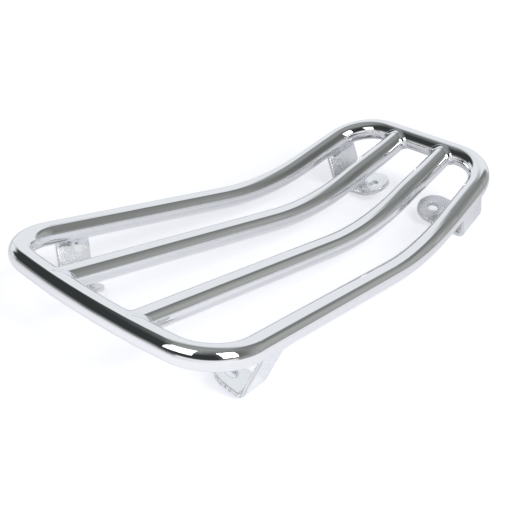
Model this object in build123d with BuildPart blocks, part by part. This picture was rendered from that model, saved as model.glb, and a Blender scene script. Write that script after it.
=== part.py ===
from build123d import *
from math import asin, atan, cos, degrees, hypot, radians, sin, sqrt, tan
import os

os.makedirs("parts", exist_ok=True)

# Welded luggage rack for a motorcycle: a closed tube loop, two inner tubes and four folded
# mounting tabs. It stands on its tabs, with the ground at z = 0 and the wide end at low x.
# Lengths are in millimetres and angles in degrees. "Left" is the side of +y.

# Tube stock, shared by the loop and the inner bars
tube_diameter = 12.7
tube_wall = 1.6
joint_gap = 0.12
vent_diameter = 4.0

# Loop, on the centreline of its tube. The deck falls from the wide front end to a bend,
# and climbs from there to the narrow rear end.
front_half_width = 80.5
rear_half_width = 50.0
front_run = 176.5
raised_run = 83.6
front_height = 37.45
front_fall = 7.5
bend_angle = 24.5
bend_radius = 152.0
front_corner_radius = 26.0
rear_corner_radius = 26.0
front_bow = 8.4
bow_straight = 2.0

# Inner bars, from the middle of the rack to each bar's centreline
bar_front_spacing = 28.4
bar_rear_spacing = 17.1

# Mounting tabs, folded from flat bar
plate_thickness = 2.5
fold_inner_radius = 2.0
edge_round = 0.4
bolt_hole_diameter = 6.6

# Front tabs: they stand outside the tube's centreline and lean in towards the ground
front_tab_distance = 40.9
front_tab_offset = 2.85
front_tab_width = 19.0
front_tab_yaw = 12.0
front_tab_lean = 21.2
front_ear_tilt = 17.5
front_hole_reach = 11.4
front_hole_past_centre = 1.2

# Rear tabs: they stand almost square under the tube and have a longer ear
rear_tab_distance = 22.5
rear_tab_offset = -1.25
rear_tab_width = 22.0
rear_tab_yaw = 6.7
rear_tab_lean = 5.9
rear_ear_tilt = 12.9
rear_hole_reach = 24.6
rear_hole_past_centre = 1.6

# Weld beads
bar_bead_radius = 1.7
bar_bead_start = 42.0
tab_bead_radius = 1.9
tab_bead_inset = 1.5
tab_bead_end_round = 1.2

# Values that follow from the sizes above
tube_radius = tube_diameter / 2
bore_radius = tube_radius - tube_wall
seat_radius = tube_radius + joint_gap
run_length = front_run + raised_run
rear_climb = bend_angle - front_fall
flare = degrees(atan((front_half_width - rear_half_width) / run_length))

# The front rail bows forward: an arc fills the rail between its two corner bends
bow_angle = degrees(atan(front_bow / front_half_width))
corner_turn = 90 + flare - bow_angle
corner_tangent = front_corner_radius * tan(radians(corner_turn / 2))
rail_half_length = hypot(front_half_width, front_bow)
bow_radius = (rail_half_length - corner_tangent - bow_straight) / tan(radians(bow_angle))
bow_reach = front_bow - bow_radius * (1 / cos(radians(bow_angle)) - 1)

# Directions along the deck and square to it, before and after the bend
front_way = Vector(cos(radians(front_fall)), 0, -sin(radians(front_fall)))
rear_way = Vector(cos(radians(rear_climb)), 0, sin(radians(rear_climb)))
front_normal = Vector(sin(radians(front_fall)), 0, cos(radians(front_fall)))
rear_normal = Vector(-sin(radians(rear_climb)), 0, cos(radians(rear_climb)))

# The origin is on the ground, under the middle of the rack's length and width
length_ahead = bow_reach * front_way.X + tube_radius
length_behind = front_run * front_way.X + raised_run * rear_way.X + tube_radius
front_line = Vector((length_ahead - length_behind) / 2, 0, front_height)


def deck_point(distance, y):
    """The point of the deck at a distance behind the front corners, measured along it."""
    before_bend = min(distance, front_run)
    after_bend = distance - before_bend
    return front_line + front_way * before_bend + rear_way * after_bend + Vector(0, y, 0)


def spread(front_value, rear_value, distance):
    """A half width that changes evenly from the front corners to the rear rail."""
    return front_value + (rear_value - front_value) * distance / run_length


def bar_half_spacing(distance):
    return spread(bar_front_spacing, bar_rear_spacing, distance)


def bar_start(y):
    """The point of the bowed front rail's centreline that the inner bar at y meets."""
    bow_at_bar = bow_reach - bow_radius + sqrt(bow_radius**2 - y**2)
    return deck_point(0, y) - front_way * bow_at_bar


def loop_corners(side):
    """Front corner, bend and rear corner of one side rail, before they are rounded."""
    bend_half_width = spread(front_half_width, rear_half_width, front_run)
    return [
        deck_point(0, side * front_half_width),
        deck_point(front_run, side * bend_half_width),
        deck_point(run_length, side * rear_half_width),
    ]


def finish(part, name):
    """Label a finished piece and write it."""
    part.label = name
    export_step(part, f"parts/{name}.step")


# Centreline of the loop: front rail, left side, rear rail and right side
side_bends = [front_corner_radius, bend_radius, rear_corner_radius]
with BuildLine() as loop_path:
    FilletPolyline(
        front_line - front_way * front_bow,
        *loop_corners(1),
        *reversed(loop_corners(-1)),
        radius=[bow_radius, *side_bends, *reversed(side_bends)],
        close=True,
    )
loop_wire = loop_path.wires()[0]
loop_start = Plane(origin=loop_wire.position_at(0), z_dir=loop_wire.tangent_at(0))

# Room that the loop's tube takes where another piece is coped to sit against it
with BuildPart() as loop_room:
    with BuildSketch(loop_start):
        Circle(seat_radius)
    sweep(path=loop_wire)

# Joints between the inner bars and the rails: place, way along the bar, way square to the
# rail and deck normal, all for the left bar
bar_bend = deck_point(front_run, bar_half_spacing(front_run))
bar_front_joint = bar_start(bar_front_spacing)
bar_rear_joint = deck_point(run_length, bar_rear_spacing)
bow_turn = asin(bar_front_spacing / bow_radius)
front_rail_square = front_way * cos(bow_turn) - Vector(0, sin(bow_turn), 0)
front_bar_way = (bar_bend - bar_front_joint).normalized()
rear_bar_way = (bar_bend - bar_rear_joint).normalized()

# Vent holes under the ends of the inner bars let the plating bath drain out of the loop.
# They are hidden once the bars are welded on.
with BuildPart() as vents:
    for joint, way in ((bar_front_joint, front_bar_way), (bar_rear_joint, rear_bar_way)):
        with BuildSketch(Plane(origin=joint, z_dir=way)):
            Circle(vent_diameter / 2)
        extrude(amount=tube_diameter)
    mirror(about=Plane.XZ)

# Perimeter loop: one bent tube, its ends butted and ground smooth
with BuildPart() as perimeter_loop:
    with BuildSketch(loop_start):
        Circle(tube_radius)
        Circle(bore_radius, mode=Mode.SUBTRACT)
    sweep(path=loop_wire)
    add(vents.part, mode=Mode.SUBTRACT)
finish(perimeter_loop.part, "perimeter_loop")

# Inner bars: bent like the side rails and coped at both ends to saddle onto the loop
with BuildLine() as bar_path:
    FilletPolyline(bar_front_joint, bar_bend, bar_rear_joint, radius=bend_radius)
bar_section = Plane(origin=bar_front_joint, z_dir=front_bar_way)

with BuildPart() as inner_bar_left:
    with BuildSketch(bar_section):
        Circle(tube_radius)
        Circle(bore_radius, mode=Mode.SUBTRACT)
    sweep(path=bar_path.wires()[0])
    add(loop_room.part, mode=Mode.SUBTRACT)
finish(inner_bar_left.part, "inner_bar_left")

with BuildPart() as inner_bar_right:
    mirror(inner_bar_left.part, about=Plane.XZ)
finish(inner_bar_right.part, "inner_bar_right")

# Room that a bar's tube takes, to shape the welds beside it
with BuildPart() as bar_room:
    with BuildSketch(bar_section):
        Circle(seat_radius)
    sweep(path=bar_path.wires()[0])


def saddle_point(joint, bar_way, rail_square, normal, hand, angle):
    """The point of the saddle seam at an angle from the bar's top, on one side of the bar."""
    sideways = normal.cross(bar_way) * hand
    out = tube_radius * sin(radians(angle))
    up = tube_radius * cos(radians(angle))
    along = (out - out * sideways.dot(rail_square)) / bar_way.dot(rail_square)
    return joint + bar_way * along + sideways * out + normal * up


def write_bar_welds(end, joint, bar_way, rail_square, normal):
    """Beads on both sides of a saddle joint, for the left bar and mirrored for the right."""
    for hand, place in ((1, "a"), (-1, "b")):
        seam = [
            saddle_point(joint, bar_way, rail_square, normal, hand, angle)
            for angle in (bar_bead_start, 90, 180 - bar_bead_start)
        ]
        with BuildLine() as seam_path:
            ThreePointArc(*seam)
        seam_start = Plane(origin=seam[0], z_dir=seam_path.wires()[0].tangent_at(0))
        with BuildPart() as bead_left:
            with BuildSketch(seam_start):
                Circle(bar_bead_radius)
            sweep(path=seam_path.wires()[0])
            add(loop_room.part, mode=Mode.SUBTRACT)
            add(bar_room.part, mode=Mode.SUBTRACT)
        finish(bead_left.part, f"weld_bar_{end}_left_{place}")
        with BuildPart() as bead_right:
            mirror(bead_left.part, about=Plane.XZ)
        finish(bead_right.part, f"weld_bar_{end}_right_{place}")


write_bar_welds("front", bar_front_joint, front_bar_way, front_rail_square, front_normal)
write_bar_welds("rear", bar_rear_joint, rear_bar_way, -rear_way, rear_normal)


def write_tab(end, tube_point, way, normal, offset, width, yaw, lean, tilt, reach, past_centre):
    """One mounting tab with its two weld beads, and their mirror images.

    The strip hangs from the tube, leaning by an angle from the deck's normal, and folds
    into an ear that rises inwards by its tilt. The fold just touches the ground.
    """
    fold_way = way * cos(radians(yaw)) + Vector(0, sin(radians(yaw)), 0)
    inward = normal.cross(fold_way)
    strip_up = normal * cos(radians(lean)) - inward * sin(radians(lean))
    strip_out = -inward * cos(radians(lean)) - normal * sin(radians(lean))
    ear_in = inward * cos(radians(tilt)) + normal * sin(radians(tilt))
    ear_up = normal * cos(radians(tilt)) - inward * sin(radians(tilt))

    # Height of the strip, from the tube's centre down to a fold that stands on the ground
    half_opening = radians(90 + lean - tilt) / 2
    fold_mid_radius = fold_inner_radius + plate_thickness / 2
    fold_outer_radius = fold_inner_radius + plate_thickness
    fold_centre_way = (ear_in + strip_up).normalized()
    fold_centre_step = fold_mid_radius / sin(half_opening)
    fold_slope = abs(fold_way.Z)
    round_drop = (fold_outer_radius - edge_round) * sqrt(1 - fold_slope**2)
    fold_drop = round_drop + (width / 2 - edge_round) * fold_slope + edge_round
    strip_top = tube_point + strip_out * offset
    level = strip_top + fold_centre_way * fold_centre_step
    strip_height = (level.Z - fold_drop) / strip_up.Z
    fold_corner = strip_top - strip_up * strip_height

    # Ear: the hole lies its reach from the strip's inner face
    hole_from_corner = reach + plate_thickness / 2 / tan(half_opening)
    hole_centre = fold_corner + ear_in * hole_from_corner
    ear_end = hole_centre + ear_in * (width / 2 - past_centre)
    profile_plane = Plane(origin=tube_point, x_dir=inward, z_dir=fold_way)
    ear_plane = Plane(origin=hole_centre, x_dir=fold_way, z_dir=ear_up)
    profile = [profile_plane.to_local_coords(p) for p in (strip_top, fold_corner, ear_end)]

    with BuildPart() as plate_right:
        with BuildSketch(profile_plane):
            with BuildLine():
                FilletPolyline(*profile, radius=fold_mid_radius)
            trace(line_width=plate_thickness)
        extrude(amount=width / 2, both=True)
        with BuildSketch(ear_plane):
            with Locations((0, -past_centre)):
                Rectangle(width * 2, width, align=(Align.CENTER, Align.MIN))
                Circle(width / 2, mode=Mode.SUBTRACT)
        extrude(amount=plate_thickness, both=True, mode=Mode.SUBTRACT)
        rim = plate_right.edges()
        for across in (fold_way, strip_out, ear_up):
            rim = rim.filter_by(Axis(tube_point, across), reverse=True)
        fillet(rim, edge_round)
        with BuildSketch(ear_plane):
            Circle(bolt_hole_diameter / 2)
        extrude(amount=plate_thickness, both=True, mode=Mode.SUBTRACT)

    # The strip's top is coped to sit against the tube
    with BuildPart() as tab_right:
        add(plate_right.part)
        add(loop_room.part, mode=Mode.SUBTRACT)
    finish(tab_right.part, f"tab_{end}_right")
    with BuildPart() as tab_left:
        mirror(tab_right.part, about=Plane.XZ)
    finish(tab_left.part, f"tab_{end}_left")

    # Beads along the seams that the strip's outer and inner faces make with the tube. The
    # lowest cross edge of such a face is its fold line, and the rest of them are the seam.
    for face_way, place in ((strip_out, "outer"), (-strip_out, "inner")):
        flat_faces = tab_right.faces().filter_by(GeomType.PLANE)
        strip_face = flat_faces.sort_by(lambda face: face.normal_at().dot(face_way))[-1]
        cross_edges = strip_face.edges().filter_by(Axis(tube_point, strip_up), reverse=True)
        seam = Wire(cross_edges.sort_by(Axis(tube_point, strip_up))[1:])
        bead_inset = tab_bead_inset / seam.length
        with BuildLine() as bead_line:
            Line(seam @ bead_inset, seam @ (1 - bead_inset))
        bead = bead_line.edges()[0]
        with BuildPart() as bead_right:
            with BuildSketch(Plane(origin=bead @ 0.5, x_dir=face_way, z_dir=bead % 0.5)):
                Circle(tab_bead_radius)
            extrude(amount=bead.length / 2, both=True)
            fillet(bead_right.edges().filter_by(GeomType.CIRCLE), tab_bead_end_round)
            add(plate_right.part, mode=Mode.SUBTRACT)
            add(loop_room.part, mode=Mode.SUBTRACT)
        finish(bead_right.part, f"weld_tab_{end}_right_{place}")
        with BuildPart() as bead_left:
            mirror(bead_right.part, about=Plane.XZ)
        finish(bead_left.part, f"weld_tab_{end}_left_{place}")


def side_rail_point(distance):
    """The centre of the right side rail's tube, before its corner bends."""
    return deck_point(distance, -spread(front_half_width, rear_half_width, distance))


write_tab(
    "front",
    side_rail_point(front_tab_distance),
    front_way,
    front_normal,
    front_tab_offset,
    front_tab_width,
    front_tab_yaw,
    front_tab_lean,
    front_ear_tilt,
    front_hole_reach,
    front_hole_past_centre,
)
write_tab(
    "rear",
    side_rail_point(run_length - rear_tab_distance),
    rear_way,
    rear_normal,
    rear_tab_offset,
    rear_tab_width,
    rear_tab_yaw,
    rear_tab_lean,
    rear_ear_tilt,
    rear_hole_reach,
    rear_hole_past_centre,
)
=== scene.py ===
import math

import bpy
import numpy as np
from mathutils import Matrix, Vector
from mathutils.bvhtree import BVHTree


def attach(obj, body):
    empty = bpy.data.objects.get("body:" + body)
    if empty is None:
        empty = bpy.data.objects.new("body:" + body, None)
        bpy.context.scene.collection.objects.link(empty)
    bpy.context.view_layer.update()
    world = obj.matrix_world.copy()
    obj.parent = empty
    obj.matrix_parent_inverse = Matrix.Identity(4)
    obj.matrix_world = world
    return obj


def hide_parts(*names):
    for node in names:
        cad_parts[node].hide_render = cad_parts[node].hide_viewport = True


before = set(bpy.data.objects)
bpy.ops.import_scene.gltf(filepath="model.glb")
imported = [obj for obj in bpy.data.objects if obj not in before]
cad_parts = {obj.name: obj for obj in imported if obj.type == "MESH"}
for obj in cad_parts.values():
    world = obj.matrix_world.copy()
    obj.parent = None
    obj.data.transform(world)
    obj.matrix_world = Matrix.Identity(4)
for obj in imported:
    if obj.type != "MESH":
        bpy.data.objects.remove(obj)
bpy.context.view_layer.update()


def linear(hex_colour):
    """An sRGB hex colour as linear red, green, blue and alpha."""
    channels = [int(hex_colour[i : i + 2], 16) / 255 for i in (1, 3, 5)]
    return [c / 12.92 if c <= 0.04045 else ((c + 0.055) / 1.055) ** 2.4 for c in channels] + [1.0]


def add_node(tree, kind, links=None, values=None, **settings):
    """Add a node with its settings, then its inputs' values and links, by input name or number."""
    node = tree.nodes.new(kind)
    for name, value in settings.items():
        setattr(node, name, value)
    for name, value in (values or {}).items():
        node.inputs[name].default_value = value
    for name, output in (links or {}).items():
        tree.links.new(output, node.inputs[name])
    return node


def empty_tree(owner):
    """The cleared node tree of a material or a world."""
    owner.use_nodes = True
    owner.node_tree.nodes.clear()
    return owner.node_tree


def direction(azimuth, elevation):
    """The unit vector at an azimuth and an elevation in degrees."""
    around, up = math.radians(azimuth), math.radians(elevation)
    return Vector((math.cos(up) * math.cos(around), math.cos(up) * math.sin(around), math.sin(up)))


# Room: what the metal mirrors. Angles are in degrees: azimuth from +X towards +Y, and
# elevation above the horizon.
GREY_ROOM = (
    # elevation, shade
    (0, "#a4a7a5"),
    (12, "#a9acaa"),
    (24, "#a5a8a6"),
    (36, "#8e918f"),
    (48, "#818482"),
    (60, "#888b8a"),
    (70, "#929594"),
    (90, "#9b9d9e"),
)
WALL_PANELS = (
    # middle, half width, softness, low edge, softness, high edge, softness, shade
    (-100, 42, 23, 10, 18, 74, 20, "#646766"),
    (-12, 9, 4, 20, 12, 60, 8, "#7b7e7c"),
    (38, 41.5, 4, -42, 6, 57, 10, "#ecf0f4"),
    (166, 84, 6, 7, 9, 56, 13, "#36393a"),
    (100, 12, 6, -42, 6, 9, 5, "#e6e9ec"),
    (88, 9, 4, -42, 6, 23, 6, "#ecf0f4"),
    (-135, 48, 5, -42, 8, 10, 6, "#f5f7fa"),
)


def paint_panel(tree, azimuth, elevation, below, panel):
    """Paint one wall panel over the shades below it.

    Its mask is a smooth step down over the angle from its middle, times a smooth step up at
    its low edge and a smooth step down at its high edge. Each edge has its softness. Each
    step ends at the value of the step before it, which multiplies them.
    """
    middle, half_width, side_soft, low, low_soft, high, high_soft, shade = panel
    turned = add_node(
        tree, "ShaderNodeMath", {0: azimuth}, {1: math.radians(middle)}, operation="SUBTRACT"
    )
    wrapped = add_node(
        tree, "ShaderNodeMath", {0: turned.outputs[0]}, {1: math.pi, 2: -math.pi}, operation="WRAP"
    )
    off_middle = add_node(tree, "ShaderNodeMath", {0: wrapped.outputs[0]}, operation="ABSOLUTE")
    edges = (
        # angle, where the step is 0, where it is 1
        (off_middle.outputs[0], half_width + side_soft, half_width - side_soft),
        (elevation, low - low_soft, low + low_soft),
        (elevation, high + high_soft, high - high_soft),
    )
    step_before = {}
    for angle, outside, inside in edges:
        limits = {"From Min": math.radians(outside), "From Max": math.radians(inside)}
        links = {"Value": angle, **step_before}
        mask = add_node(tree, "ShaderNodeMapRange", links, limits, interpolation_type="SMOOTHSTEP")
        step_before = {"To Max": mask.outputs[0]}
    painted = add_node(
        tree, "ShaderNodeMix", {0: mask.outputs[0], 6: below}, {7: linear(shade)}, data_type="RGBA"
    )
    return painted.outputs[2]


def build_room():
    """Plain even light for matt surfaces, white for the camera, and walls for the metal to mirror."""
    world = bpy.data.worlds.new("photo_room")
    bpy.context.scene.world = world
    world.cycles.sampling_method = "NONE"
    tree = empty_tree(world)
    place = add_node(tree, "ShaderNodeTexCoord")
    axes = add_node(tree, "ShaderNodeSeparateXYZ", {0: place.outputs["Generated"]})
    azimuth = add_node(
        tree, "ShaderNodeMath", {0: axes.outputs[1], 1: axes.outputs[0]}, operation="ARCTAN2"
    )
    elevation = add_node(tree, "ShaderNodeMath", {0: axes.outputs[2]}, operation="ARCSINE")
    height = add_node(
        tree,
        "ShaderNodeMapRange",
        {"Value": elevation.outputs[0]},
        {"From Min": 0.0, "From Max": math.radians(90)},
    )
    walls = add_node(tree, "ShaderNodeValToRGB", {0: height.outputs[0]})
    ramp = walls.color_ramp.elements
    for spare in range(len(GREY_ROOM) - len(ramp)):
        ramp.new(0.5)
    for stop, (angle, shade) in zip(ramp, GREY_ROOM):
        stop.position = angle / 90
        stop.color = linear(shade)
    # Upright edges in the room, about 4 degrees wide, that the tubes mirror as lengthwise streaks
    uprights = add_node(
        tree,
        "ShaderNodeTexNoise",
        {"W": azimuth.outputs[0]},
        {"Scale": 14.0, "Detail": 2.0, "Roughness": 0.6},
        noise_dimensions="1D",
    )
    dimming = add_node(
        tree,
        "ShaderNodeMapRange",
        {"Value": uprights.outputs["Fac"]},
        {"From Min": 0.3, "From Max": 0.7, "To Min": 0.84, "To Max": 1.16},
    )
    streaked = add_node(
        tree,
        "ShaderNodeVectorMath",
        {0: walls.outputs[0], "Scale": dimming.outputs[0]},
        operation="SCALE",
    )
    shade = streaked.outputs[0]
    for panel in WALL_PANELS:
        shade = paint_panel(tree, azimuth.outputs[0], elevation.outputs[0], shade, panel)
    mirrored = add_node(tree, "ShaderNodeBackground", {"Color": shade}, {"Strength": 1.0})
    even = add_node(tree, "ShaderNodeBackground", values={"Color": linear("#f9faff"), "Strength": 0.38})
    white = add_node(tree, "ShaderNodeBackground", values={"Color": linear("#ffffff"), "Strength": 1.0})
    path = add_node(tree, "ShaderNodeLightPath")
    light = add_node(
        tree,
        "ShaderNodeMixShader",
        {0: path.outputs["Is Glossy Ray"], 1: even.outputs[0], 2: mirrored.outputs[0]},
    )
    seen = add_node(
        tree,
        "ShaderNodeMixShader",
        {0: path.outputs["Is Camera Ray"], 1: light.outputs[0], 2: white.outputs[0]},
    )
    add_node(tree, "ShaderNodeOutputWorld", {0: seen.outputs[0]})


def table_card():
    """Matt white card, which shows the camera the rack's shadow on white, deepened by painted shade near
    the rack.

    For the metal it glows brighter towards the rack's front, which is painted light, and past
    a painted edge to its right it glows grey, a painted reflection of the walls beyond the table.
    """
    material = bpy.data.materials.new("matt_white_card")
    tree = empty_tree(material)
    place = add_node(tree, "ShaderNodeTexCoord")
    axes = add_node(tree, "ShaderNodeSeparateXYZ", {0: place.outputs["Object"]})
    card = add_node(tree, "ShaderNodeBsdfDiffuse", values={"Color": linear("#ebecef")})
    path = add_node(tree, "ShaderNodeLightPath")
    # White all round for the camera, and less bright within about 0.3 m of the rack's middle: painted
    # shade that deepens the rack's shadow there
    from_middle = add_node(
        tree, "ShaderNodeVectorMath", {0: place.outputs["Object"]}, operation="LENGTH"
    )
    camera_lift_with_painted_shade = add_node(
        tree,
        "ShaderNodeMapRange",
        {"Value": from_middle.outputs["Value"]},
        {"From Min": 0.10, "From Max": 0.30, "To Min": 0.48, "To Max": 0.66},
    )
    to_camera = add_node(
        tree, "ShaderNodeEmission", {"Strength": camera_lift_with_painted_shade.outputs[0]}, {"Color": linear("#f9faff")}
    )
    nothing = add_node(tree, "ShaderNodeEmission", values={"Strength": 0.0})
    lift = add_node(
        tree,
        "ShaderNodeMixShader",
        {0: path.outputs["Is Camera Ray"], 1: nothing.outputs[0], 2: to_camera.outputs[0]},
    )
    plain = add_node(tree, "ShaderNodeAddShader", {0: card.outputs[0], 1: lift.outputs[0]})
    # Painted light for the metal: the card glows brighter towards the front, where the nearer softbox
    # stands
    glow = add_node(
        tree,
        "ShaderNodeMapRange",
        {"Value": axes.outputs[0]},
        {"From Min": 0.20, "From Max": -0.28, "To Min": 0.12, "To Max": 0.34},
    )
    painted_glow_for_metal = add_node(
        tree, "ShaderNodeEmission", {"Strength": glow.outputs[0]}, {"Color": linear("#f6f8ff")}
    )
    table = add_node(tree, "ShaderNodeAddShader", {0: card.outputs[0], 1: painted_glow_for_metal.outputs[0]})
    # A painted edge of the table, square to this way, 0.20 to 0.36 m from the middle: past it the card
    # glows grey for the metal
    to_right = add_node(
        tree,
        "ShaderNodeVectorMath",
        {0: place.outputs["Object"]},
        {1: (0.77, -0.64, 0.0)},
        operation="DOT_PRODUCT",
    )
    past_painted_edge = add_node(
        tree,
        "ShaderNodeMapRange",
        {"Value": to_right.outputs["Value"]},
        {"From Min": 0.20, "From Max": 0.36},
        interpolation_type="SMOOTHSTEP",
    )
    # Painted reflection: the grey walls beyond the table, which the metal sees past the painted edge
    painted_room_glow = add_node(tree, "ShaderNodeEmission", values={"Color": linear("#a6a9a7"), "Strength": 1.0})
    mirrored = add_node(
        tree,
        "ShaderNodeMixShader",
        {0: past_painted_edge.outputs[0], 1: table.outputs[0], 2: painted_room_glow.outputs[0]},
    )
    seen = add_node(
        tree,
        "ShaderNodeMixShader",
        {0: path.outputs["Is Glossy Ray"], 1: plain.outputs[0], 2: mirrored.outputs[0]},
    )
    add_node(tree, "ShaderNodeOutputMaterial", {0: seen.outputs[0]})
    return material


def build_floor():
    """A flat table top, a hair below the tabs' ears."""
    level = -0.00002
    corners = ((-1.6, -0.8, level), (0.6, -0.8, level), (0.6, 1.6, level), (-1.6, 1.6, level))
    mesh = bpy.data.meshes.new("table_top")
    mesh.from_pydata(corners, [], [(0, 1, 2, 3)])
    mesh.materials.append(table_card())
    floor = bpy.data.objects.new("table_top", mesh)
    bpy.context.collection.objects.link(floor)


def add_softbox(name, azimuth, elevation, distance, width, height, turn, tilt, glow):
    """A soft rectangular lamp near the rack. Its glow is its radiance.

    It faces the rack's middle, but for a turn about the vertical and a tilt.
    """
    lamp = bpy.data.lights.new(name, "AREA")
    lamp.shape = "RECTANGLE"
    lamp.size = width
    lamp.size_y = height
    lamp.energy = glow * math.pi * width * height
    softbox = bpy.data.objects.new(name, lamp)
    softbox.location = direction(azimuth, elevation) * distance
    facing = -direction(azimuth + turn, elevation + tilt)
    softbox.rotation_euler = facing.to_track_quat("-Z", "Y").to_euler()
    bpy.context.collection.objects.link(softbox)


def add_camera():
    """The photograph's viewpoint: place and directions in the rack's frame, and focal length."""
    place = Vector((-0.36664, -0.34318, 0.29584))
    forward = Vector((0.62041, 0.60676, -0.49693)).normalized()
    right = Vector((0.69901, -0.71512, -0.00048))
    right = (right - forward * right.dot(forward)).normalized()
    up = right.cross(forward)
    data = bpy.data.cameras.new("photo_camera")
    data.sensor_width = 36
    data.lens = 71.51
    data.clip_start = 0.01
    camera = bpy.data.objects.new("photo_camera", data)
    camera.matrix_world = Matrix.Translation(place) @ Matrix((right, up, -forward)).transposed().to_4x4()
    bpy.context.collection.objects.link(camera)
    bpy.context.scene.camera = camera


# Finishes
def bright_chrome():
    """Chromium over buffed nickel on drawn steel tube.

    Buffing leaves a mirror with faint long waves, and handling leaves a thin haze.
    """
    material = bpy.data.materials.new("bright_chrome_plate")
    tree = empty_tree(material)
    place = add_node(tree, "ShaderNodeTexCoord").outputs["Object"]
    # Buffing waves, about 9 mm long
    waves = add_node(
        tree,
        "ShaderNodeTexNoise",
        {"Vector": place},
        {"Scale": 110.0, "Detail": 1.5, "Roughness": 0.4},
    )
    lift = add_node(
        tree, "ShaderNodeBump", {"Height": waves.outputs["Fac"]}, {"Strength": 0.05, "Distance": 0.0006}
    )
    # Handling haze in patches of about 14 mm
    haze = add_node(
        tree,
        "ShaderNodeTexNoise",
        {"Vector": place},
        {"Scale": 70.0, "Detail": 5.0, "Roughness": 0.6},
    )
    gloss = add_node(
        tree,
        "ShaderNodeMapRange",
        {"Value": haze.outputs["Fac"]},
        {"From Min": 0.35, "From Max": 0.75, "To Min": 0.02, "To Max": 0.05},
    )
    metal = add_node(
        tree,
        "ShaderNodeBsdfPrincipled",
        {"Roughness": gloss.outputs[0], "Normal": lift.outputs[0]},
        {"Base Color": linear("#f3f3f4"), "Metallic": 1.0},
    )
    add_node(tree, "ShaderNodeOutputMaterial", {0: metal.outputs[0]})
    return material


def bar_chrome():
    """Chromium over flat steel bar that was sheared, folded and not buffed.

    Pressing left shallow waves and the rolled skin small dimples, so it mirrors softly in
    patches of white and grey. The sheared edges keep fine torn lines, which look dark.
    """
    material = bpy.data.materials.new("chrome_plated_flat_bar")
    tree = empty_tree(material)
    place = add_node(tree, "ShaderNodeTexCoord").outputs["Object"]
    # Pressing waves, about 6 mm long
    waves = add_node(
        tree,
        "ShaderNodeTexNoise",
        {"Vector": place},
        {"Scale": 160.0, "Detail": 1.0, "Roughness": 0.4},
    )
    # Edges rounded to about 0.9 mm by the plater's polishing
    rounded = add_node(tree, "ShaderNodeBevel", values={"Radius": 0.0009}, samples=6)
    wavy = add_node(
        tree,
        "ShaderNodeBump",
        {"Height": waves.outputs["Fac"], "Normal": rounded.outputs[0]},
        {"Strength": 0.12, "Distance": 0.0012},
    )
    # Dimples of the rolled skin, about 1.2 mm across
    skin = add_node(
        tree,
        "ShaderNodeTexNoise",
        {"Vector": place},
        {"Scale": 850.0, "Detail": 2.5, "Roughness": 0.6},
    )
    dimpled = add_node(
        tree,
        "ShaderNodeBump",
        {"Height": skin.outputs["Fac"], "Normal": wavy.outputs[0]},
        {"Strength": 0.012, "Distance": 0.00025},
    )
    # Torn lines of the shears, 0.6 mm apart, only where the surface faces along the rack
    surface = add_node(tree, "ShaderNodeNewGeometry")
    facing = add_node(tree, "ShaderNodeSeparateXYZ", {0: surface.outputs["True Normal"]})
    along = add_node(tree, "ShaderNodeMath", {0: facing.outputs[0]}, operation="ABSOLUTE")
    sheared = add_node(
        tree,
        "ShaderNodeMapRange",
        {"Value": along.outputs[0]},
        {"From Min": 0.8, "From Max": 0.9, "To Max": 1.0},
    )
    axes = add_node(tree, "ShaderNodeSeparateXYZ", {0: place})
    outward = add_node(tree, "ShaderNodeMath", {0: axes.outputs[1]}, operation="ABSOLUTE")
    across = add_node(
        tree,
        "ShaderNodeMath",
        {0: axes.outputs[2], 2: outward.outputs[0]},
        {1: -0.3},
        operation="MULTIPLY_ADD",
    )
    torn = add_node(
        tree,
        "ShaderNodeTexNoise",
        {"W": across.outputs[0]},
        {"Scale": 1600.0, "Detail": 1.0, "Roughness": 0.6},
        noise_dimensions="1D",
    )
    lift = add_node(
        tree,
        "ShaderNodeBump",
        {"Strength": sheared.outputs[0], "Height": torn.outputs["Fac"], "Normal": dimpled.outputs[0]},
        {"Distance": 0.0010},
    )
    # Haze in patches of about 7 mm
    haze = add_node(
        tree,
        "ShaderNodeTexNoise",
        {"Vector": place},
        {"Scale": 140.0, "Detail": 3.0, "Roughness": 0.6},
    )
    gloss = add_node(
        tree,
        "ShaderNodeMapRange",
        {"Value": haze.outputs["Fac"]},
        {"From Min": 0.35, "From Max": 0.65, "To Min": 0.18, "To Max": 0.30},
    )
    metal = add_node(
        tree,
        "ShaderNodeBsdfPrincipled",
        {"Roughness": gloss.outputs[0], "Normal": lift.outputs[0]},
        {"Base Color": linear("#f4f5f6"), "Metallic": 1.0},
    )
    add_node(tree, "ShaderNodeOutputMaterial", {0: metal.outputs[0]})
    return material


def weld_chrome():
    """Chromium over weld metal: nearly as bright as the tubes, and it keeps the bead's unevenness."""
    material = bpy.data.materials.new("chrome_plated_weld")
    tree = empty_tree(material)
    place = add_node(tree, "ShaderNodeTexCoord").outputs["Object"]
    # Unevenness of the bead, about 1.2 mm long
    pool = add_node(
        tree,
        "ShaderNodeTexNoise",
        {"Vector": place},
        {"Scale": 800.0, "Detail": 2.0, "Roughness": 0.5},
    )
    lift = add_node(
        tree, "ShaderNodeBump", {"Height": pool.outputs["Fac"]}, {"Strength": 0.12, "Distance": 0.0003}
    )
    metal = add_node(
        tree,
        "ShaderNodeBsdfPrincipled",
        {"Normal": lift.outputs[0]},
        {"Base Color": linear("#eef0f3"), "Metallic": 1.0, "Roughness": 0.08},
    )
    add_node(tree, "ShaderNodeOutputMaterial", {0: metal.outputs[0]})
    return material


# Sizes of the inner tubes and the welds, in metres and degrees, in the rack's own frame
TUBE_RADIUS = 0.00635
BEND_RADIUS = 0.152

# Ways along the deck and square to it: it falls by 7.5 degrees to its bend, then climbs by 17
FRONT_WAY, FRONT_NORMAL = np.array((0.991445, 0.0, -0.130526)), np.array((0.130526, 0.0, 0.991445))
REAR_WAY, REAR_NORMAL = np.array((0.956305, 0.0, 0.292372)), np.array((-0.292372, 0.0, 0.956305))

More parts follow.
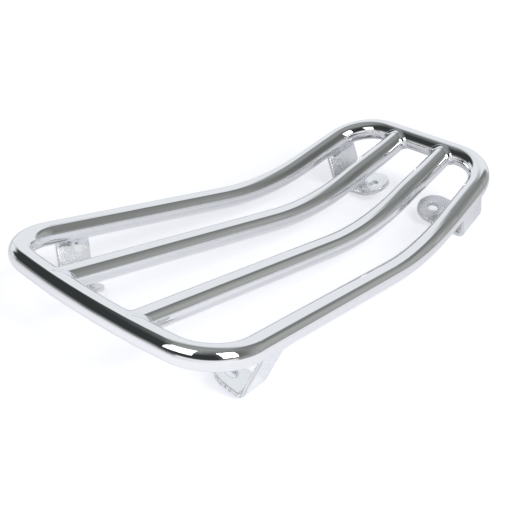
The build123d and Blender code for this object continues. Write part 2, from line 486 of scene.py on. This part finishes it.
# Rails at the inner tubes' ends: middle, normal and the middle of the front rail's bow
BOW_RADIUS = 0.504114
FRONT_RAIL = (np.array((-0.130276, 0.0, 0.038189)), FRONT_NORMAL, np.array((0.369526, 0.0, -0.027611)))
REAR_RAIL = (np.array((0.130276, 0.0, 0.038854)), REAR_NORMAL, None)

# Middle line of the left inner tube, at the front rail's bow, at the bend and at the rear rail
FRONT_JOINT = np.array((-0.129482, 0.0284, 0.038085))
BEND = np.array((0.050329, 0.020732, 0.014412))
REAR_JOINT = np.array((0.130276, 0.0171, 0.038854))

# Middle line of the loop above a right tab
FRONT_TAB_TOP = np.array((-0.084111, -0.075704, 0.032111))
REAR_TAB_TOP = np.array((0.108759, -0.052638, 0.032276))

# How far an inner tube's rear end lies below the rail's middle, from where, and over what length
REAR_DROP = 0.00075
DROP_START = 0.045
DROP_LENGTH = 0.033

# An inner tube's even rings stop short of its joints, and its ends reach a little into the rails
RINGS_SHORT = 0.012
END_DEPTH = 0.0003
CAP_RADIUS = 0.0005

# A weld's edges and its back lie in the metal, and its top a hair above it
EDGE_DEPTH = 0.0003
BACK_DEPTH = 0.0009
TOP_LIFT = 0.000015

# A saddle weld at its narrowest, over the top of a tube, and the pitch of its ripples
NARROW_ON_BAR = 0.0022
NARROW_ON_RAIL = 0.0011
RIPPLE_PITCH = 0.0016

# A tab's weld: how far it reaches down the strip, how proud it is, and its round ends
TAB_WELD_LEG = 0.0030
TAB_WELD_CROWN = 0.0008
TAB_WELD_ROUND = 0.0018


def unit(vectors):
    """Vectors scaled to length 1."""
    return vectors / np.linalg.norm(vectors, axis=-1, keepdims=True)


def add_piece(name, sections, closed, material, nodes):
    """A piece that stands for CAD nodes.

    Its closed sections are joined in order, as a ring or with caps on both ends.
    """
    count, size = sections.shape[:2]
    ids = np.arange(count * size).reshape(count, size)
    around = np.roll(ids, -1, axis=1)
    last = count if closed else count - 1
    onward, onward_around = (np.roll(grid, -1, axis=0)[:last] for grid in (ids, around))
    quads = np.stack([ids[:last], onward, onward_around, around[:last]], axis=-1).reshape(-1, 4)
    faces = quads.tolist()
    if not closed:
        faces += [ids[0].tolist(), ids[-1][::-1].tolist()]
    # About six times the volume inside, which is below zero where the faces point inwards
    points = sections.reshape(-1, 3)
    a, b, c, d = (points[quads[:, k]] - points.mean(axis=0) for k in range(4))
    volume = np.sum(np.cross(b - a, c - a) * a) + np.sum(np.cross(c - a, d - a) * a)
    if volume < 0:
        faces = [face[::-1] for face in faces]
    mesh = bpy.data.meshes.new(name)
    mesh.from_pydata(points.tolist(), [], faces)
    mesh.polygons.foreach_set("use_smooth", [True] * len(faces))
    mesh.materials.append(material)
    piece = bpy.data.objects.new(name, mesh)
    bpy.context.collection.objects.link(piece)
    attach(piece, "root")
    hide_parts(*nodes)


def bead_sections(start, seam, end, start_out, end_out, middle_out, crown):
    """Closed sections of a weld between two surfaces, one for each station along the seam.

    The top is a quadratic Bezier curve from the start over the seam to the end, raised by the
    crown times 4 s (1 - s). Its edges and its back lie below both surfaces.
    """
    s = np.linspace(0, 1, 11)[None, :, None]
    top = (1 - s) ** 2 * start[:, None] + 2 * s * (1 - s) * seam[:, None] + s**2 * end[:, None]
    top = top + (TOP_LIFT + 4 * s * (1 - s) * crown[:, None, None]) * middle_out[:, None]
    start_edge = start - EDGE_DEPTH * start_out
    end_edge = end - EDGE_DEPTH * end_out
    back = seam - BACK_DEPTH * middle_out
    return np.concatenate([start_edge[:, None], top, end_edge[:, None], back[:, None]], axis=1)


def rail_out(points, rail):
    """Vectors to the points from the nearest points of a rail's centreline.

    A rail is its middle, its normal and the middle of its bow, or None if it is straight.
    """
    middle, normal, bow_centre = rail
    if bow_centre is None:
        return (points - middle) * (1, 0, 1)
    from_centre = points - bow_centre
    in_plane = from_centre - np.outer(from_centre @ normal, normal)
    return from_centre - BOW_RADIUS * unit(in_plane)


def seam_points(joint, bar_way, bar_out, rail):
    """Where each straight line along a bar's surface meets the rail's surface.

    The place is found by halving, between 1 mm before the joint and 12 mm along the bar. Both
    tubes are equally thick, so the top line only touches the rail, and it gets 2 micrometres.
    """
    line = joint + TUBE_RADIUS * bar_out
    near, far = np.full(len(line), -0.001), np.full(len(line), 0.012)
    for halving in range(40):
        middle = (near + far) / 2
        reach = np.linalg.norm(rail_out(line + middle[:, None] * bar_way, rail), axis=1)
        outside = reach > TUBE_RADIUS + 2e-6
        near, far = np.where(outside, near, middle), np.where(outside, middle, far)
    return line + far[:, None] * bar_way


def saddle_weld(name, joint, bar_way, rail, width, crown, ripple, nodes):
    """The weld round the saddle joint of a bar and a rail.

    It runs from the bar to the rail over their seam, widest beside the bar and narrow over
    its top. Its width swells and sinks with three waves of unequal length, and low beside
    the bar it has ripples.
    """
    normal = rail[1]
    sideways = unit(np.cross(normal, bar_way))
    angle = np.linspace(0, 2 * np.pi, 168, endpoint=False)
    bar_out = np.sin(angle)[:, None] * sideways + np.cos(angle)[:, None] * normal
    seam = seam_points(joint, bar_way, bar_out, rail)
    beside = np.abs(np.sin(angle))
    swell = 1 + 0.10 * np.cos(7 * angle + 0.6) + 0.06 * np.cos(12 * angle + 2.1)
    swell = swell + 0.05 * np.cos(19 * angle + 4.0)
    on_bar = NARROW_ON_BAR + (width - NARROW_ON_BAR) * beside * swell
    on_rail = NARROW_ON_RAIL + (width - NARROW_ON_RAIL) * beside * swell
    start = seam + on_bar[:, None] * bar_way
    spread = unit(np.sin(angle)[:, None] * sideways - np.cos(angle)[:, None] ** 2 * bar_way)
    spread_point = seam + on_rail[:, None] * spread
    from_rail = rail_out(spread_point, rail)
    end_out = unit(from_rail)
    end = spread_point - from_rail + TUBE_RADIUS * end_out
    middle_out = unit(bar_out + unit(rail_out(seam, rail)))
    low_beside = np.clip(0.5 - 1.6 * np.cos(angle), 0, 1) * beside
    ripples = ripple * np.cos(angle * TUBE_RADIUS * 2 * np.pi / RIPPLE_PITCH)
    height = crown * (beside * swell) ** 2 + low_beside * ripples
    sections = bead_sections(start, seam, end, bar_out, end_out, middle_out, height)
    add_piece(name, sections, True, weld_finish, nodes)


def inner_bar(name, front_joint, bend, rear_joint, node):
    """An inner tube: two straight runs and an arc between them, coped to both rails.

    Its rear end lies lower than the rail's middle, by a smooth step over its last stretch.
    """
    front_way, rear_way = unit(bend - front_joint), unit(rear_joint - bend)
    turn = math.acos(front_way @ rear_way)
    tangent = BEND_RADIUS * math.tan(turn / 2)
    sideways = unit(np.cross(rear_way, front_way))
    into_bend = unit(rear_way - (rear_way @ front_way) * front_way)
    arc = np.linspace(0, turn, 33)[:, None]
    bent = bend - tangent * front_way
    bent = bent + BEND_RADIUS * (np.sin(arc) * front_way + (1 - np.cos(arc)) * into_bend)
    steps = np.linspace(0, 1, 24)[:, None]
    first = front_joint + RINGS_SHORT * front_way
    last = rear_joint - RINGS_SHORT * rear_way
    front_run = first + steps * (bent[0] - first)
    rear_run = bent[-1] + steps * (last - bent[-1])
    line = np.concatenate([front_run, bent[1:-1], rear_run])
    to_joint = np.linalg.norm(line - rear_joint, axis=1)[:, None]
    dropped = np.clip((DROP_START - to_joint) / DROP_LENGTH, 0, 1)
    line = line - REAR_DROP * dropped**2 * (3 - 2 * dropped) * REAR_NORMAL
    ways = unit(np.gradient(line, axis=0))
    angle = np.linspace(0, 2 * np.pi, 96, endpoint=False)
    ups = unit(np.cross(ways, sideways))
    ups = ups * np.sign(ups[:, 2:])
    out = np.sin(angle)[None, :, None] * sideways + np.cos(angle)[None, :, None] * ups[:, None]
    rings = line[:, None] + TUBE_RADIUS * out
    lowered = rear_joint - REAR_DROP * REAR_NORMAL
    front_end = seam_points(front_joint, front_way, out[0], FRONT_RAIL) - END_DEPTH * front_way
    rear_end = seam_points(lowered, -rear_way, out[-1], REAR_RAIL) + END_DEPTH * rear_way
    front_cap = front_joint + CAP_RADIUS * out[0]
    rear_cap = lowered + CAP_RADIUS * out[-1]
    # Rows close to both ends keep the smooth shading of the caps off the tube
    close = np.array((0.02, 0.1, 0.3, 0.6))[:, None, None]
    front_rows = front_end + close * (rings[0] - front_end)
    rear_rows = rings[-1] + (1 - close[::-1]) * (rear_end - rings[-1])
    front = [front_cap[None], front_end[None], front_rows]
    rear = [rear_rows, rear_end[None], rear_cap[None]]
    sections = np.concatenate([*front, rings, *rear])
    add_piece(name, sections, False, tube_finish, [node])


def tab_weld(name, tab, line_offset, face_side, mirror, node):
    """A fillet weld between one face of a tab's strip and the tube above it.

    The seam is found by rays up the strip's face to the loop. From there the weld's legs run
    down the face and out along the tube. They swell and sink with three waves of unequal
    length, and shrink as a quarter circle to the weld's ends.
    """
    tube_point, way, normal, yaw, lean, half_length = tab
    yaw, lean = math.radians(yaw), math.radians(lean)
    fold_way = way * math.cos(yaw) + np.array((0, math.sin(yaw), 0))
    inward = np.cross(normal, fold_way)
    strip_up = normal * math.cos(lean) - inward * math.sin(lean)
    strip_out = -inward * math.cos(lean) - normal * math.sin(lean)
    face_out = strip_out * face_side
    stations = half_length * np.sin(np.linspace(-np.pi / 2, np.pi / 2, 61) * 0.995)
    below_tube = tube_point + strip_out * line_offset - 0.02 * strip_up
    rays = below_tube + stations[:, None] * fold_way
    hits = [loop_surface.ray_cast(Vector(ray), Vector(strip_up)) for ray in rays]
    seam = np.array([hit[0] for hit in hits])
    tube_out = unit(np.array([hit[1] for hit in hits]))
    along_tube = unit(np.cross(tube_out, fold_way))
    along_tube = along_tube * np.sign(along_tube @ face_out)[:, None]
    to_end = np.clip((half_length - np.abs(stations)) / TAB_WELD_ROUND, 0, 1)
    waves = 0.05 * np.cos(stations / 0.00105 + 1.3 * line_offset / 0.001)
    waves += 0.03 * np.cos(stations / 0.00062 + 2.0) + 0.02 * np.cos(stations / 0.00041 + 0.7)
    size = (np.sqrt(1 - (1 - to_end) ** 2) * 0.92 + 0.08) * (1 + waves)
    leg = (TAB_WELD_LEG * size)[:, None]
    start = seam - leg * strip_up
    near = [loop_surface.find_nearest(Vector(point)) for point in seam + leg * along_tube]
    end, end_out = np.array([hit[0] for hit in near]), unit(np.array([hit[1] for hit in near]))
    face_rows = np.repeat(face_out[None], len(stations), axis=0)
    middle_out = unit(face_rows + tube_out)
    sections = bead_sections(start, seam, end, face_rows, end_out, middle_out, size * TAB_WELD_CROWN)
    if mirror:
        sections = sections * (1, -1, 1)
    add_piece(name, sections, False, weld_finish, [node])


build_room()
build_floor()
add_softbox(
    "softbox_left",
    azimuth=185.7,
    elevation=43.8,
    distance=0.358,
    width=0.180,
    height=0.222,
    turn=13.3,
    tilt=-22.2,
    glow=1.6,
)
add_softbox(
    "softbox_right",
    azimuth=-96.1,
    elevation=42.6,
    distance=0.967,
    width=0.377,
    height=0.620,
    turn=-16.7,
    tilt=-9.7,
    glow=6.0,
)
add_camera()

tube_finish = bright_chrome()
tab_finish = bar_chrome()
weld_finish = weld_chrome()
for name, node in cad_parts.items():
    finish = tab_finish if name.startswith("tab") else tube_finish
    for slot in node.material_slots:
        slot.material = finish

for side, hand in (("left", 1), ("right", -1)):
    front_joint, bend, rear_joint = (point * (1, hand, 1) for point in (FRONT_JOINT, BEND, REAR_JOINT))
    inner_bar(f"inner_tube_{side}", front_joint, bend, rear_joint, f"inner_bar_{side}")
    saddle_weld(
        f"saddle_weld_front_{side}",
        front_joint,
        unit(bend - front_joint),
        FRONT_RAIL,
        width=0.0030,
        crown=0.00015,
        ripple=0.0,
        nodes=[f"weld_bar_front_{side}_a", f"weld_bar_front_{side}_b"],
    )
    saddle_weld(
        f"saddle_weld_rear_{side}",
        rear_joint - REAR_DROP * REAR_NORMAL,
        unit(bend - rear_joint),
        REAR_RAIL,
        width=0.0028,
        crown=0.00040,
        ripple=0.00032,
        nodes=[f"weld_bar_rear_{side}_a", f"weld_bar_rear_{side}_b"],
    )

# Tab welds are made for the right side and mirrored for the left
loop_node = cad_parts["perimeter_loop"]
loop_surface = BVHTree.FromObject(loop_node, bpy.context.evaluated_depsgraph_get())
tabs = {
    # (point on the loop, way, normal, yaw, lean, half length), outer face, inner face
    "front": ((FRONT_TAB_TOP, FRONT_WAY, FRONT_NORMAL, 12.0, 21.2, 0.0094), 0.00410, 0.00160),
    "rear": ((REAR_TAB_TOP, REAR_WAY, REAR_NORMAL, 6.7, 5.9, 0.0100), 0.00000, -0.00250),
}
for end, (tab, outer, inner) in tabs.items():
    for face, line_offset, face_side in (("outer", outer, 1), ("inner", inner, -1)):
        for side in ("right", "left"):
            tab_weld(
                f"tab_weld_{end}_{side}_{face}",
                tab,
                line_offset,
                face_side,
                side == "left",
                f"weld_tab_{end}_{side}_{face}",
            )

bpy.context.scene.view_settings.view_transform = "Standard"
